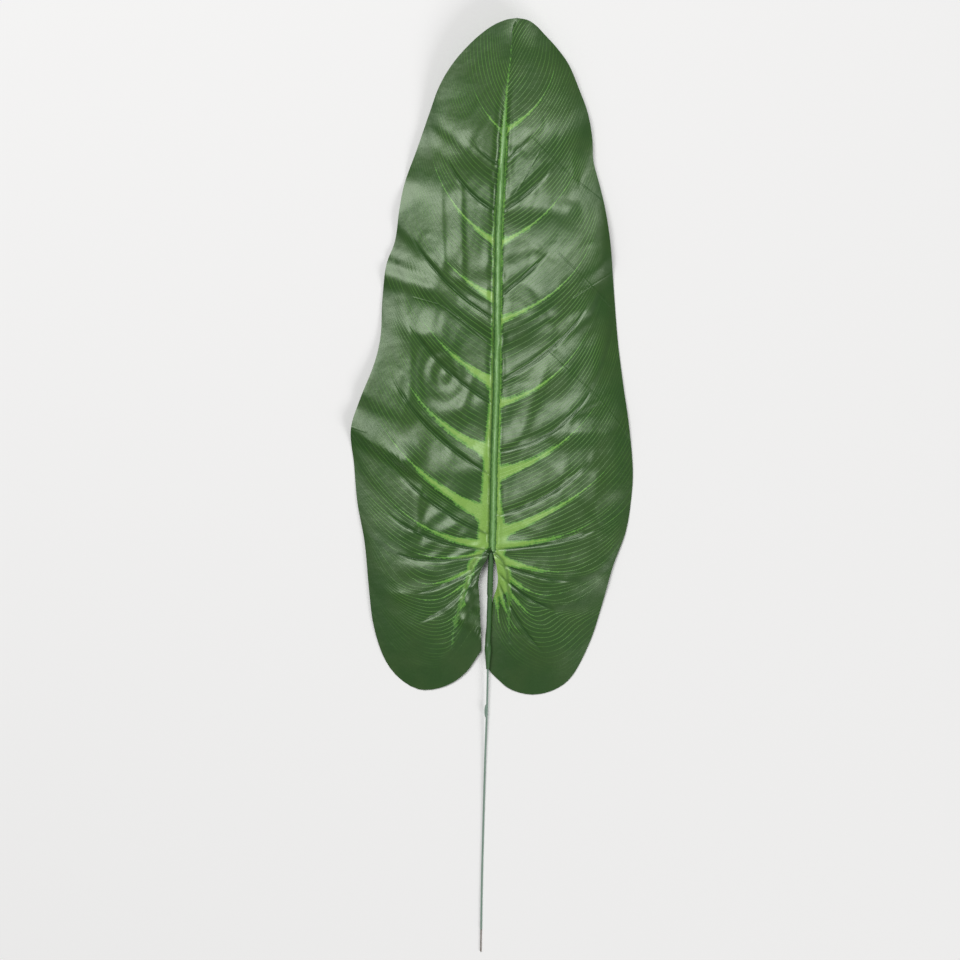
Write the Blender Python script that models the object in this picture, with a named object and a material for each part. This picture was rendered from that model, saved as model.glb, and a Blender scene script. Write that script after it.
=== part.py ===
# An artificial anthurium leaf lying face up. A printed cloth blade lies on a moulded rib frame, whose
# sleeve holds a coated steel wire as the stem. Lengths here are in millimetres, with +Y to the tip and
# the surface that the leaf lies on at z = 0.
import bmesh
import bpy
import numpy as np
from mathutils import Matrix, Vector
from mathutils.bvhtree import BVHTree

MM = 0.001

# Blade
BLADE_THICKNESS = 0.7
ROWS_PER_GUIDE = 2
COLUMNS = 16
COLUMNS_AT_MIDRIB = (0.0, 2.2, 4.6, 8.0)

# Pressed relief of the blade
MIDRIB_RIDGE_HEIGHT = 1.9
MIDRIB_RIDGE_WIDTH = 3.0
MIDRIB_VALLEY_DEPTH = 1.2
MIDRIB_VALLEY_OFFSET = 7.5
MIDRIB_VALLEY_WIDTH = 3.2
MIDRIB_RIDGE_FADES = (365.0, 325.0)  # y where the ridge starts and is full
GROOVE_DEPTH = 1.4
GROOVE_SPREAD = 0.3  # in guides

# Rib frame
RIB_GAP = 0.65
LOBE_RIB_GAP = 1.1  # these cross the blade's folds and not along them
RIB_ROOT_RADIUS = 1.3
RIB_END_RADIUS = 0.7
RIB_SIDES = 4
RIB_LOWEST = 0.8  # of the radius, which keeps its flat underside above z = 0
RIB_START = 0.03
MIDRIB_BAR_SPAN = (350.0, -58.0)
MIDRIB_BAR_FLAT = (225.0, -40.0)  # its underside is flat at z = 0 between these
MIDRIB_BAR_HALF_WIDTH = 2.2
MIDRIB_BAR_SHOULDER = 1.5
MIDRIB_BAR_END_DEPTH = 2.0
MIDRIB_BAR_STATIONS = 29

# Stem
SLEEVE_SIDES = 14
SLEEVE_BORE_RADIUS = 1.1
SLEEVE_BORE_START = -79.0
COATING_RADIUS = 0.85
COATING_BORE_RADIUS = 0.55
COATING_SPAN = (-80.0, -401.0)
CORE_RADIUS = 0.3  # inside the coat, from which it keeps a gap
CORE_SPAN = (-79.6, -401.3)
BARE_END_RADIUS = 0.65
BARE_END = -421.0
STEM_STEP = 9.0
STEM_SIDES = 10
BEAD_CENTRE = (-4.8, -204.0)
BEAD_HALF_SIZE = (1.6, 6.0, 1.5)

# Midrib, from the tip to the notch: the root of each shared guide
MIDRIB = [
    (19.4, 414.5), (17.1, 382), (13.1, 348), (10.8, 318), (9, 287.5), (6.8, 244.5), (5.9, 217), (5.4, 168),
    (5.2, 147), (4.4, 91.5), (3.8, 71.5), (2.4, 28.5), (1.9, 7), (1.4, -29.5), (0.9, -46.5), (0.6, -54), (0.5, -59),
]

# Height of the blade's face along the midrib, guide by guide
MIDRIB_HEIGHT = [22, 17, 11.5, 8.8, 8.4, 8.4, 8.6, 8.6, 8.6, 8.6, 8.6, 8.6, 8.6, 8.8, 9, 9.2, 9.4]

# Each half of the blade follows guide curves, which run as its veins do from the midrib or the notch to
# the margin. A guide has a root, a bend and its reach, which counts points along the outline.
RIGHT = {
    "outline": [
        (23, 421), (33, 419), (41, 413.5), (48, 406), (59, 394), (70, 378.5), (79, 357), (87, 335), (91, 312),
        (92, 292), (97.5, 270.5), (103, 247), (107.5, 216.5), (110.5, 175), (114, 130), (119, 89.5), (124, 54.5),
        (127.5, 15), (126, -14), (121, -43), (109.5, -74), (101, -104), (89.5, -140), (73.5, -171.5),
        (57, -185), (36.5, -189.5), (17.5, -185), (6, -176), (-1.5, -168.5),
    ],
    "notch": [
        (2.3, -65), (3.6, -70), (4.5, -74), (5.2, -79), (5.7, -83), (5.7, -87), (5.3, -90.5), (4.8, -93),
        (4, -96), (3, -98.5),
    ],
    "notch_height": [9, 9, 8.2, 7.2, 6.4, 5.4, 4.4, 3.4, 2.6, 2],
    "flat_root": 0.2,  # how level the camber starts at the midrib
    "bend": [
        (21.2, 417.5), (24, 402), (38, 368.5), (59, 346), (58, 328), (68, 281), (72.5, 244.5), (75, 220),
        (94, 177), (97.5, 132), (90.5, 94), (100.5, 42), (96, 35.5), (91.5, -7), (103, -11), (97.5, -54.5),
        (99.5, -55.5), (88.5, -97), (77, -101), (52.5, -120), (43.5, -119), (48, -142.5), (33, -151),
        (19.5, -140), (14, -140), (7.5, -138), (-12, -142),
    ],
    "reach": [
        0, 1.4, 2.5, 4, 5.2, 6.6, 7.5, 9.6, 10.5, 11.7, 12.3, 13.3, 14.2, 15.4, 16.2, 17.3, 18, 19.5, 20.1,
        20.9, 21.5, 22.2, 23, 24, 25, 26.3, 28,
    ],
    "camber": [
        0, 0, 0, 0.2, 0.8, 1.4, 1.8, 2.2, 2.5, 3.4, 5, 6, 6, 6, 6, 6, 5.6, 5.2, 4.8, 4.6, 4.4, 4.2, 4, 3.6, 3,
        1.5, 0,
    ],
    "margin_height": [
        22, 21, 20, 18, 15, 11.6, 8, 5.4, 4, 4.4, 4.8, 4.4, 3, 1, 1.6, 3, 3, 1.4, 0.7, 1.8, 3, 2.4, 1.6, 1,
        0.7, 0.9, 1.2, 1.5, 1.6,
    ],
    # guide: the share of it that its rib covers
    "ribs": {4: 0.3, 5: 0.45, 7: 0.4, 9: 0.62, 11: 0.62, 13: 0.62, 16: 0.62, 18: 0.55, 20: 0.6, 22: 0.65},
    "lobe_rib": [(2.3, -61.5), (9.5, -68), (14, -79), (15.8, -104), (15.8, -126.5), (16.2, -142)],
}
LEFT = {
    "outline": [
        (23, 421), (12, 419), (-1.5, 412.5), (-17.5, 399.5), (-34.5, 380.5), (-47, 359.5), (-56, 335), (-67, 303),
        (-78, 273), (-83, 249), (-87, 220), (-95, 197.5), (-98.5, 166), (-100, 134.5), (-106, 108.5),
        (-119, 76), (-127, 49), (-124, 18.5), (-121, -16), (-114.5, -52), (-110.5, -95), (-106.5, -126.5),
        (-97.5, -155), (-84, -174), (-64.5, -185), (-42, -182), (-23, -169.5), (-9, -149),
    ],
    "notch": [
        (-1, -60.5), (-2.2, -62), (-4.5, -68), (-7.2, -72.5), (-9.5, -77), (-10.8, -81.5), (-11.5, -86),
        (-11.9, -89.5), (-11.6, -93), (-11.2, -97),
    ],
    "notch_height": [9, 9, 9, 8.8, 8.2, 7.6, 7, 6.6, 6.2, 5.8],
    "flat_root": 0.8,
    "bend": [
        (21.2, 417.5), (12, 400), (-2, 368.5), (-22, 346), (-29, 305.5), (-46.5, 274), (-53.5, 253), (-58, 195),
        (-63.5, 189.5), (-71.5, 128), (-70.5, 113), (-84, 61.5), (-79.5, 52.5), (-85, 8.5), (-71.5, -18.5),
        (-80.5, -52.5), (-80.5, -56), (-82.5, -81.5), (-87, -83), (-82.5, -118.5), (-79.5, -119), (-64.5, -129),
        (-55.5, -140), (-43, -146), (-34, -149), (-26.5, -140), (-10, -122),
    ],
    "reach": [
        0, 1, 2, 3.3, 4.5, 5.7, 6.3, 7.8, 9, 10.2, 11.2, 12.2, 13.3, 14.7, 15.6, 16.5, 17.4, 18.2, 18.6,
        19.2, 19.7, 20.3, 20.9, 22.2, 24.2, 25.3, 27,
    ],
    "camber": [
        0, 0, 0, 0.3, 0.6, 0.9, 1, 1, 1, 1, 1.2, 1.4, 1.6, 1.8, 2, 2.2, 2.4, 2.6, 3, 3, 3, 3, 3, 2.5, 2, 1.5, 1,
    ],
    "margin_height": [
        22, 22, 21.4, 19.6, 16, 11.6, 7, 3.6, 2.6, 2.4, 2.4, 1.6, 0.9, 0.7, 1.5, 2.6, 2.4, 0.7, 1.5, 2.2, 2.2,
        1.8, 1.2, 0.7, 0.9, 1.4, 2.2, 3,
    ],
    "ribs": {4: 0.35, 5: 0.62, 8: 0.8, 10: 0.7, 12: 0.8, 14: 0.68, 16: 0.72, 18: 0.62, 20: 0.5, 22: 0.6},
    "lobe_rib": [
        (-1.4, -61.5), (-12, -65), (-17.5, -72.5), (-21, -86), (-26.5, -102), (-31, -119), (-34, -132),
        (-35.5, -147),
    ],
}

# Folds of the blade. The two ends of each crest are read off the photo, in its pixels. Then come the gentle
# half-width towards the tip and the steep half-width towards the notch, in pixels too, and the height in mm
PIXEL = 0.9
PHOTO_ORIGIN = (491.5, 484.5)
FOLDS = [
    ((396, 216), (434, 258), 40, 10, 4.0),
    ((384, 274), (430, 289), 11, 11, 3.6),
    ((430, 289), (488, 326), 11, 12, 3.4),
    ((446, 270), (490, 300), 44, 8, 2.6),
    ((404, 322), (484, 384), 36, 6, 2.2),
    ((408, 402), (484, 470), 42, 8, 2.6),
    ((376, 345), (402, 352), 40, 40, 2.6),
    ((365, 393), (400, 411), 44, 14, 4.2),
    ((347, 427), (404, 462), 30, 12, 5.6),
    ((404, 462), (450, 496), 24, 10, 3.2),
    ((440, 472), (482, 470), 22, 10, 2.2),
    ((425, 529), (464, 533), 18, 8, 1.6),
    ((517, 38), (549, 47), 20, 16, 1.6),
    ((522, 150), (592, 124), 18, 16, 1.6),
    ((508, 207), (566, 210), 12, 13, 1.7),
    ((505, 334), (545, 310), 40, 8, 4.6),
    ((556, 292), (608, 256), 44, 14, 5.2),
    ((505, 411), (585, 351), 22, 10, 2.0),
    ((506, 446), (596, 400), 16, 8, 2.1),
    ((505, 507), (589, 462), 26, 8, 2.4),
    ((536, 533), (607, 491), 30, 12, 2.2),
]

# The outline was read off the photo as if it lay on the floor. What stands higher looks larger from the
# camera, so it is drawn smaller about the place that the camera looks at.
CAMERA_HEIGHT = 2045.0
CAMERA_LOOKS_AT = (-10.35, 4.05)

# The stem's middle line and the sleeve's outer radii
STEM = [
    (0.4, -40, 4.2), (-0.3, -64, 4.7), (-1.1, -84, 5.2), (-1.6, -100, 5.6), (-2.3, -122, 5.6),
    (-3.2, -146, 5.4), (-3.3, -160, 5.1), (-3.6, -180, 4.4), (-4.2, -205, 3.6), (-5.5, -240, 2.2),
    (-6.8, -285, 1.2), (-7.6, -315, 0.85), (-8.8, -365, 0.85), (-9.6, -421, 0.85),
]
SLEEVE = [
    (-42, 1.6), (-50, 2.2), (-62, 2.6), (-82, 2.6), (-98, 2.6), (-101, 2.0), (-104, 2.2), (-125, 2.1),
    (-141, 2.1), (-146, 3.0), (-149, 3.0), (-154, 2.5), (-161, 1.9), (-166, 1.5),
]

MATERIALS = {
    "leaf_blade": ((0.035, 0.11, 0.028), 0.42, 0.0),
    "rib_frame": ((0.03, 0.12, 0.045), 0.5, 0.0),
    "wire_coating": ((0.12, 0.24, 0.15), 0.45, 0.0),
    "wire_core": ((0.38, 0.35, 0.31), 0.4, 1.0),
}


def clear_scene():
    for item in list(bpy.data.objects):
        bpy.data.objects.remove(item)


def hermite(points, slopes, places):
    # The smooth curve through points that stand at 0, 1, 2 and so on
    index = np.clip(np.floor(places).astype(int), 0, len(points) - 2)
    share = (places - index)[:, None]
    rest = 1 - share
    return (
        (1 + 2 * share) * rest**2 * points[index] + share * rest**2 * slopes[index]
        + share**2 * (1 + 2 * rest) * points[index + 1] - share**2 * rest * slopes[index + 1]
    )


def round_curve(points, places):
    # Slopes from the neighbours on both sides: for outlines
    points = np.asarray(points, float).reshape(len(points), -1)
    return hermite(points, np.gradient(points, axis=0), places)


def steady_curve(points, places):
    # Slopes that never overshoot: for guides that stand close together
    points = np.asarray(points, float).reshape(len(points), -1)
    steps = np.diff(points, axis=0)
    product = steps[:-1] * steps[1:]
    total = np.where(product > 0, steps[:-1] + steps[1:], 1)
    inner = np.where(product > 0, 2 * product / total, 0)
    return hermite(points, np.vstack([steps[:1], inner, steps[-1:]]), places)


def root_curve(shared, notch, places):
    # Both halves share the midrib, and each has its own side of the notch below it
    last = len(shared) - 1
    on_midrib = steady_curve(shared, np.minimum(places, last))
    on_notch = steady_curve([shared[-1]] + notch, np.maximum(places - last, 0))
    return np.where(places[:, None] <= last, on_midrib, on_notch)


def guide_points(half, places, shares):
    # Points of the half at guides `places`, and at `shares` of each from its root to the margin
    roots = root_curve(MIDRIB, half["notch"], places)
    bends = steady_curve(half["bend"], places)
    reach = steady_curve(half["reach"], places)[:, 0]
    ends = round_curve(half["outline"], reach)
    share = shares[..., None]
    return (1 - share)**2 * roots[:, None] + 2 * share * (1 - share) * bends[:, None] + share**2 * ends[:, None]


def column_shares(half, places):
    # The columns stand close together beside the midrib and evenly over the rest
    roots = root_curve(MIDRIB, half["notch"], places)
    bends = steady_curve(half["bend"], places)
    speed = 2 * np.linalg.norm(bends - roots, axis=1)[:, None]
    near = np.array(COLUMNS_AT_MIDRIB)
    first = np.minimum(near / speed, np.arange(len(near)) / COLUMNS)
    steps = np.linspace(0, 1, COLUMNS - len(near) + 2)[1:]
    rest = first[:, -1:] + (1 - first[:, -1:]) * steps
    return np.hstack([first, rest])


def distance_to_line(x, y, line):
    line = np.asarray(line, float)
    best = np.full(x.shape, np.inf)
    for (ax, ay), (bx, by) in zip(line[:-1], line[1:]):
        length = (bx - ax)**2 + (by - ay)**2
        along = np.clip(((x - ax) * (bx - ax) + (y - ay) * (by - ay)) / length, 0, 1)
        best = np.minimum(best, np.hypot(x - ax - along * (bx - ax), y - ay - along * (by - ay)))
    return best


def midrib_relief(x, y):
    offset = distance_to_line(x, y, MIDRIB)
    start, full = MIDRIB_RIDGE_FADES
    strength = np.clip((start - y) / (start - full), 0, 1)
    ridge = MIDRIB_RIDGE_HEIGHT * np.exp(-(offset / MIDRIB_RIDGE_WIDTH)**2)
    valley = MIDRIB_VALLEY_DEPTH * np.exp(-((offset - MIDRIB_VALLEY_OFFSET) / MIDRIB_VALLEY_WIDTH)**2)
    return strength * (ridge - valley)


def photo_place(point):
    u, v = point
    return (u - PHOTO_ORIGIN[0]) * PIXEL, (PHOTO_ORIGIN[1] - v) * PIXEL


def fold_relief(x, y):
    relief = np.zeros_like(x)
    for start, end, gentle, steep, height in FOLDS:
        ax, ay = photo_place(start)
        bx, by = photo_place(end)
        length = np.hypot(bx - ax, by - ay)
        ux, uy = (bx - ax) / length, (by - ay) / length
        nx, ny = (-uy, ux) if ux > 0 else (uy, -ux)  # points to the tip's side
        along = (x - ax) * ux + (y - ay) * uy
        across = (x - ax) * nx + (y - ay) * ny
        width = np.where(across > 0, gentle, steep)
        past = np.maximum(np.maximum(-along, along - length), 0) / (0.35 * length + 0.6 * steep)
        relief += height * np.exp(-(across / width)**2 * 1.6) * np.exp(-past**2 * 3)
    return relief


def groove_relief(half, places, shares):
    relief = np.zeros_like(shares)
    for guide, extent in half["ribs"].items():
        near = np.exp(-((places[:, None] - guide) / GROOVE_SPREAD)**2)
        along = np.clip(shares / 0.08, 0, 1) * np.clip((extent - shares) / 0.15, 0, 1)
        relief -= GROOVE_DEPTH * near * along
    return relief


def half_surface(half, places, shares):
    points = guide_points(half, places, shares)
    x, y = points[..., 0], points[..., 1]
    root_height = root_curve(MIDRIB_HEIGHT, half["notch_height"], places)
    reach = steady_curve(half["reach"], places)[:, 0]
    margin_height = round_curve(half["margin_height"], reach)
    camber = steady_curve(half["camber"], places)
    arch = 4 * shares * (1 - shares)
    flat_root = half["flat_root"]
    height = root_height * (1 - shares) + margin_height * shares
    height += camber * ((1 - flat_root) * arch + flat_root * arch**2)
    calm = np.clip((places[:, None] - 22) / 3, 0, 1)  # the lobes' inner strips lie flat under the stem
    height += (fold_relief(x, y) + groove_relief(half, places, shares)) * (1 - calm) + midrib_relief(x, y)
    height = np.maximum(height, BLADE_THICKNESS + 0.02)
    nearer = 1 - height / CAMERA_HEIGHT
    x = CAMERA_LOOKS_AT[0] + (x - CAMERA_LOOKS_AT[0]) * nearer
    y = CAMERA_LOOKS_AT[1] + (y - CAMERA_LOOKS_AT[1]) * nearer
    return np.dstack([x, y, height])


def leaf_sheet():
    # The blade's face as vertices and triangles, the two halves sharing the midrib
    places = np.linspace(0, len(RIGHT["bend"]) - 1, (len(RIGHT["bend"]) - 1) * ROWS_PER_GUIDE + 1)
    sheet = bmesh.new()
    for half in (RIGHT, LEFT):
        surface = half_surface(half, places, column_shares(half, places))
        grid = [[sheet.verts.new(point) for point in row] for row in surface]
        for upper, lower in zip(grid[:-1], grid[1:]):
            for column in range(len(upper) - 1):
                corners = [upper[column], lower[column], lower[column + 1], upper[column + 1]]
                if half is LEFT:
                    corners.reverse()
                sheet.faces.new((corners[0], corners[1], corners[2]))
                sheet.faces.new((corners[0], corners[2], corners[3]))
    bmesh.ops.remove_doubles(sheet, verts=sheet.verts, dist=0.01)
    return sheet


def underside_finder(sheet):
    # Returns a function for the height of the blade's underside above a place
    tree = BVHTree.FromBMesh(sheet)
    reach = 100

    def underside(x, y):
        hit = tree.ray_cast(Vector((x, y, reach)), Vector((0, 0, -1)))[0]
        if hit is None:
            hit = tree.find_nearest(Vector((x, y, MIDRIB_HEIGHT[-1])))[0]
        return hit.z - 1.1 * BLADE_THICKNESS

    return underside


def new_object(name, body):
    body.transform(Matrix.Scale(MM, 4))
    mesh = bpy.data.meshes.new(name)
    body.to_mesh(mesh)
    body.free()
    item = bpy.data.objects.new(name, mesh)
    bpy.context.scene.collection.objects.link(item)
    return item


def close_rings(body, rings):
    for ring, following in zip(rings[:-1], rings[1:]):
        for corner in range(len(ring)):
            after = (corner + 1) % len(ring)
            body.faces.new((ring[corner], ring[after], following[after], following[corner]))
    body.faces.new(list(reversed(rings[0])))
    body.faces.new(rings[-1])
    bmesh.ops.recalc_face_normals(body, faces=body.faces)
    bmesh.ops.triangulate(body, faces=body.faces)


def swept_body(name, path, radii, sides):
    # A solid round bar along a nearly level path, one ring of corners for each point
    path = np.asarray(path, float)
    heading = np.gradient(path[:, :2], axis=0)
    heading /= np.linalg.norm(heading, axis=1)[:, None]
    body = bmesh.new()
    rings = []
    for (x, y, z), (hx, hy), radius in zip(path, heading, radii):
        turns = 2 * np.pi * (np.arange(sides) + 0.5) / sides
        rings.append([
            body.verts.new((x - hy * radius * np.cos(a), y + hx * radius * np.cos(a), z + radius * np.sin(a)))
            for a in turns
        ])
    close_rings(body, rings)
    return new_object(name, body)


def united(item, others):
    # Joins other bodies into one, then removes them
    group = bpy.data.collections.new("joined")
    bpy.context.scene.collection.children.link(group)
    for other in others:
        group.objects.link(other)
    union = item.modifiers.new("union", "BOOLEAN")
    union.operation = "UNION"
    union.operand_type = "COLLECTION"
    union.collection = group
    union.solver = "EXACT"
    bpy.context.view_layer.update()
    mesh = bpy.data.meshes.new_from_object(item.evaluated_get(bpy.context.evaluated_depsgraph_get()))
    item.modifiers.clear()
    item.data = mesh
    for other in others:
        bpy.data.objects.remove(other)
    bpy.data.collections.remove(group)


def bored(item, cutter):
    cutter.hide_render = True
    cutter.display_type = "WIRE"
    cut = item.modifiers.new("bore", "BOOLEAN")
    cut.operation = "DIFFERENCE"
    cut.object = cutter
    cut.solver = "EXACT"


def finished(item, name):
    item.name = name
    colour, roughness, metallic = MATERIALS[name]
    material = bpy.data.materials.new(name)
    material.use_nodes = True
    shader = material.node_tree.nodes["Principled BSDF"]
    shader.inputs["Base Color"].default_value = (*colour, 1)
    shader.inputs["Roughness"].default_value = roughness
    shader.inputs["Metallic"].default_value = metallic
    item.data.materials.clear()
    item.data.materials.append(material)
    item.data.shade_smooth()
    item.data.set_sharp_from_angle(angle=np.radians(50))


def stem_path(start, end):
    # Points of the stem's middle line between two values of y
    stem = np.array(STEM)
    count = int(np.ceil((start - end) / STEM_STEP)) + 1
    y = np.linspace(start, end, count)
    fine = steady_curve(STEM, np.linspace(0, len(STEM) - 1, 40 * len(STEM)))
    x = np.interp(-y, -fine[:, 1], fine[:, 0])
    z = np.interp(-y, -fine[:, 1], fine[:, 2])
    return np.column_stack([x, np.clip(y, stem[-1, 1], stem[0, 1]), z])


def leaf_blade(sheet):
    blade = new_object("leaf_blade", sheet)
    solidify = blade.modifiers.new("thickness", "SOLIDIFY")
    solidify.thickness = BLADE_THICKNESS * MM
    solidify.offset = -1
    finished(blade, "leaf_blade")


def midrib_bar(underside):
    body = bmesh.new()
    rings = []
    flat_start, flat_end = MIDRIB_BAR_FLAT
    line = np.array(MIDRIB)
    for y in np.linspace(*MIDRIB_BAR_SPAN, MIDRIB_BAR_STATIONS):
        x = np.interp(-y, -line[:, 1], line[:, 0])
        share = np.clip((y - flat_start) / (MIDRIB_BAR_SPAN[0] - flat_start), 0, 1)
        share = max(share, np.clip((flat_end - y) / 30, 0, 0.6))
        top = underside(x, y) - RIB_GAP
        bottom = share * max(top - MIDRIB_BAR_END_DEPTH, 0)
        foot = MIDRIB_BAR_HALF_WIDTH * (1 - 0.55 * np.clip((y - flat_start) / 130, 0, 1))
        edge = MIDRIB_BAR_SHOULDER * foot / MIDRIB_BAR_HALF_WIDTH
        section = [
            (x - foot, bottom), (x + foot, bottom), (x + edge, underside(x + edge, y) - RIB_GAP),
            (x, top), (x - edge, underside(x - edge, y) - RIB_GAP),
        ]
        rings.append([body.verts.new((px, y, pz)) for px, pz in section])
    close_rings(body, rings)
    return new_object("rib_frame", body)


def rib_body(name, line, gap, underside):
    radii = np.linspace(RIB_ROOT_RADIUS, RIB_END_RADIUS, len(line))
    sink = 2 * RIB_GAP * np.exp(-np.arange(len(line)) / 1.5)
    path = []
    for (x, y), r, deeper in zip(line, radii, sink):
        lowest = min(underside(x, y), underside(x - r, y), underside(x + r, y))
        path.append((x, y, max(lowest - gap - r - deeper, RIB_LOWEST * r)))
    return swept_body(name, path, radii, RIB_SIDES)


def rib_frame(underside):
    frame = midrib_bar(underside)
    ribs = []
    for side, half in (("right", RIGHT), ("left", LEFT)):
        for guide, extent in half["ribs"].items():
            place = np.array([float(guide)])
            columns = column_shares(half, place)[0]
            shares = np.concatenate([[RIB_START], columns[(columns > RIB_START + 0.01) & (columns < extent)], [extent]])
            line = guide_points(half, place, shares[None])[0]
            if guide < len(MIDRIB):
                line = np.vstack([guide_points(half, place, np.zeros((1, 1)))[0], line])
            ribs.append(rib_body(f"{side}_rib_{guide}", line, RIB_GAP, underside))
        lobe_line = round_curve(half["lobe_rib"], np.linspace(0, len(half["lobe_rib"]) - 1, 22))
        ribs.append(rib_body(f"{side}_lobe_rib", lobe_line, LOBE_RIB_GAP, underside))
    sleeve_y, sleeve_radii = np.array(SLEEVE).T
    path = np.vstack([stem_path(y, y - STEM_STEP)[:1] for y in sleeve_y])
    ribs.append(swept_body("sleeve", path, sleeve_radii, SLEEVE_SIDES))
    united(frame, ribs)
    bore = stem_path(SLEEVE_BORE_START, SLEEVE[-1][0] - 3)
    bored(frame, swept_body("sleeve_bore", bore, np.full(len(bore), SLEEVE_BORE_RADIUS), SLEEVE_SIDES))
    finished(frame, "rib_frame")


def wire_coating():
    path = stem_path(*COATING_SPAN)
    coating = swept_body("wire_coating", path, np.full(len(path), COATING_RADIUS), STEM_SIDES)
    bead = bmesh.new()
    bmesh.ops.create_icosphere(bead, subdivisions=2, radius=1)
    x, y = BEAD_CENTRE
    height = stem_path(y, y - STEM_STEP)[0, 2]
    for vertex in bead.verts:
        vertex.co = Vector((x, y, height)) + Vector(BEAD_HALF_SIZE) * vertex.co
    united(coating, [new_object("bead", bead)])
    bore = stem_path(COATING_SPAN[0] + 2, COATING_SPAN[1] - 2)
    bored(coating, swept_body("coating_bore", bore, np.full(len(bore), COATING_BORE_RADIUS), STEM_SIDES))
    finished(coating, "wire_coating")


def wire_core():
    hidden = stem_path(*CORE_SPAN)
    bare = stem_path(CORE_SPAN[1], BARE_END)
    radii = [CORE_RADIUS] * len(hidden) + [BARE_END_RADIUS] * len(bare)
    finished(swept_body("wire_core", np.vstack([hidden, bare]), radii, STEM_SIDES), "wire_core")


def main():
    clear_scene()
    sheet = leaf_sheet()
    underside = underside_finder(sheet)
    rib_frame(underside)
    leaf_blade(sheet)
    wire_coating()
    wire_core()


main()
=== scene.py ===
# A man-made anthurium leaf: printed satin cloth on a moulded rib frame, with a coated wire stem
import math

import bmesh
import bpy
import numpy as np
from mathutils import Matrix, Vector, noise as perlin
from mathutils.bvhtree import BVHTree


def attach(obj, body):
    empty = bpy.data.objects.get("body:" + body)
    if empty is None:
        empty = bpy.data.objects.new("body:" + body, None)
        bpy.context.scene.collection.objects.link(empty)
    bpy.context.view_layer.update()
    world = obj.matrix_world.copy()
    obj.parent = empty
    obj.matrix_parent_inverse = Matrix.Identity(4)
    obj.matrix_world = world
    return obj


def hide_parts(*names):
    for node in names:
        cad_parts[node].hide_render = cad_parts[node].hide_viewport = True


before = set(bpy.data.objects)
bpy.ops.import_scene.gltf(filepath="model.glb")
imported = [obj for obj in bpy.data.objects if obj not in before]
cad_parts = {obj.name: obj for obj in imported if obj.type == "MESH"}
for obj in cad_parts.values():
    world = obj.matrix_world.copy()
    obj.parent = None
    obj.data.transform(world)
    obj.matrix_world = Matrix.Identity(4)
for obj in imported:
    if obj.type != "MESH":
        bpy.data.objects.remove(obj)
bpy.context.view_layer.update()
mm = 0.001  # lengths below are in millimetres unless a note says otherwise


# Camera, lights and floor
studio = {
    "lens": 85.0,
    "lookAt": (-10.35, 4.05),
    "cameraHeight": 2045.0,
    "floorSize": 12.0,  # metres
    "floorColour": (0.965, 0.96, 0.955),
    "worldColour": (0.19, 0.19, 0.19),
    "keyPlace": (-1.05, 2.2, 3.85),  # metres, towards the tip and to its left
    "keySize": (3.1, 2.2),
    "keyPower": 141.0,
    "fillPlace": (2.6, -3.0, 2.2),
    "fillSize": (2.6, 1.6),
    "fillPower": 84.0,
}


def setCamera():
    data = bpy.data.cameras.new("camera")
    data.lens = studio["lens"]
    data.clip_end = 50
    camera = bpy.data.objects.new("camera", data)
    bpy.context.scene.collection.objects.link(camera)
    camera.location = (studio["lookAt"][0] * mm, studio["lookAt"][1] * mm, studio["cameraHeight"] * mm)
    bpy.context.scene.camera = camera


setCamera()


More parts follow.
